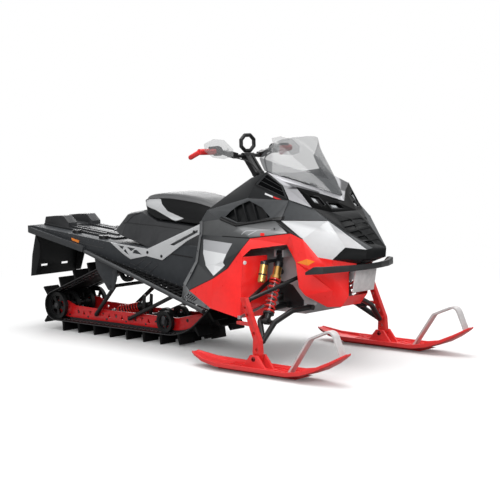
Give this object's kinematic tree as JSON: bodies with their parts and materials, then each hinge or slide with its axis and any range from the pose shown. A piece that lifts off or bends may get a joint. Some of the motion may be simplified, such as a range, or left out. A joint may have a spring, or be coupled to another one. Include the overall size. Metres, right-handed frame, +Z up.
{
  "type": "snowmobile",
  "caption": "Mountain snowmobile with a long lugged rubber track under an open tunnel, faceted bodywork, hooked handlebar and red skis on double wishbones.",
  "frame": {"origin": "on the floor, on the middle plane, half way between the snow flap's rear edge and the ski tips", "axes": "+X points forward, +Y to the rider's left, +Z up"},
  "size_m": [3.0186, 1.231, 1.2637],
  "materials": {
    "track_rubber": "matte moulded rubber",
    "wheel_grey": "moulded, rubber tread",
    "axle_steel": "turned",
    "rail_red": "gloss coat on aluminium",
    "slide_dark": "worn smooth",
    "arm_grey": "satin coat",
    "shock_black": "satin",
    "tunnel_dark": "satin coat",
    "board_grey": "satin coat",
    "trim_black": "fine grain",
    "flap_rubber": "moulded",
    "bare_aluminium": "brushed",
    "box_grey": "fine grain",
    "seat_vinyl": "grained vinyl",
    "panel_grey": "moulded, half gloss",
    "panel_red": "moulded, gloss",
    "panel_shoulder": "moulded, half gloss",
    "panel_white": "moulded, gloss",
    "trim_silver": "painted silver",
    "lamp_dark": "smoked",
    "shield_smoke": "tinted sheet",
    "engine_grey": "cast",
    "frame_aluminium": "cast and machined",
    "bumper_grey": "fine grain",
    "plate_grey": "fine grain",
    "steel_black": "satin coat",
    "grip_red": "soft",
    "strap_black": "soft",
    "guard_pale": "milky",
    "arm_black": "satin coat",
    "shock_red": "coil spring",
    "spindle_red": "gloss coat",
    "ski_red": "moulded",
    "loop_pale": "moulded",
    "cable_black": "sleeve",
    "knee_grey": "fine grain",
    "lens_clear": "moulded",
    "reflector_amber": "lens",
    "lamp_red": "lens"
  },
  "bodies": {
    "chassis": {"axles": "axle_steel", "brow_trim": "trim_silver", "bulkhead": "frame_aluminium", "cargo_anchors": "trim_black", "cheek_panels": "panel_white", "chin_panel": "panel_red", "console": "trim_black", "engine": "engine_grey", "front_bumper": "bumper_grey", "headlamps": "lamp_dark", "hood_sides": "panel_grey", "knee_frames": "knee_grey", "lamp_lenses": "lens_clear", "nose": "trim_black", "rails": "rail_red", "rear_bumper": "trim_black", "red_panels": "panel_red", "reflectors": "reflector_amber", "running_boards": "board_grey", "running_wheels": "wheel_grey", "seat": "seat_vinyl", "shocks": "shock_red", "shoulder_panels": "panel_shoulder", "side_panels": "panel_grey", "side_plates": "bare_aluminium", "side_vents": "trim_black", "skid_arms": "arm_grey", "skid_plate": "plate_grey", "skid_shocks": "shock_black", "slide_shoes": "slide_dark", "snow_flap": "flap_rubber", "storage_box": "box_grey", "tail_housing": "trim_black", "tail_lamp": "lamp_red", "track": "track_rubber", "tunnel": "tunnel_dark", "vent_panels": "panel_grey", "windshield": "shield_smoke", "wishbones": "arm_black"},
    "steering": {"steering_post": "steel_black", "handlebar": "steel_black", "grips": "grip_red", "grab_loop": "strap_black", "hand_guards": "guard_pale", "controls": "trim_black", "cables": "cable_black"},
    "spindle_left": {"spindle_left": "spindle_red"},
    "spindle_right": {"spindle_right": "spindle_red"},
    "tie_rods": {"tie_rods": "axle_steel"},
    "ski_left": {"ski_left": "ski_red", "ski_loop_left": "loop_pale"},
    "ski_right": {"ski_right": "ski_red", "ski_loop_right": "loop_pale"}
  },
  "joints": [
    {"name": "handlebar_turn", "type": "hinge", "parent": "chassis", "child": "steering", "pos_m": [0.452, 0, 0.985], "axis": [-0.6157, 0, 0.788], "range_deg": [-35, 35]},
    {"name": "tie_rod_slide", "type": "slide", "parent": "chassis", "child": "tie_rods", "axis": [0, 1, 0], "range_m": [-0.0545, 0.0545]},
    {"name": "spindle_left_turn", "type": "hinge", "parent": "chassis", "child": "spindle_left", "pos_m": [0.889, 0.495, 0.17], "axis": [-0.4109, 0, 0.9117], "range_deg": [-28.1, 28.1]},
    {"name": "ski_left_pitch", "type": "hinge", "parent": "spindle_left", "child": "ski_left", "pos_m": [0.886, 0.5315, 0.082], "axis": [0, 1, 0], "range_deg": [-20, 12], "stiffness_Nm_per_rad": 40},
    {"name": "spindle_right_turn", "type": "hinge", "parent": "chassis", "child": "spindle_right", "pos_m": [0.889, -0.495, 0.17], "axis": [-0.4109, 0, 0.9117], "range_deg": [-28.1, 28.1]},
    {"name": "ski_right_pitch", "type": "hinge", "parent": "spindle_right", "child": "ski_right", "pos_m": [0.886, -0.5315, 0.082], "axis": [0, 1, 0], "range_deg": [-20, 12], "stiffness_Nm_per_rad": 40}
  ],
  "couplings": [
    {"joint": "spindle_left_turn", "follows": "handlebar_turn", "ratio": 0.8},
    {"joint": "spindle_right_turn", "follows": "handlebar_turn", "ratio": 0.8},
    {"joint": "tie_rod_slide", "follows": "handlebar_turn", "m_per_rad": -0.0888}
  ]
}
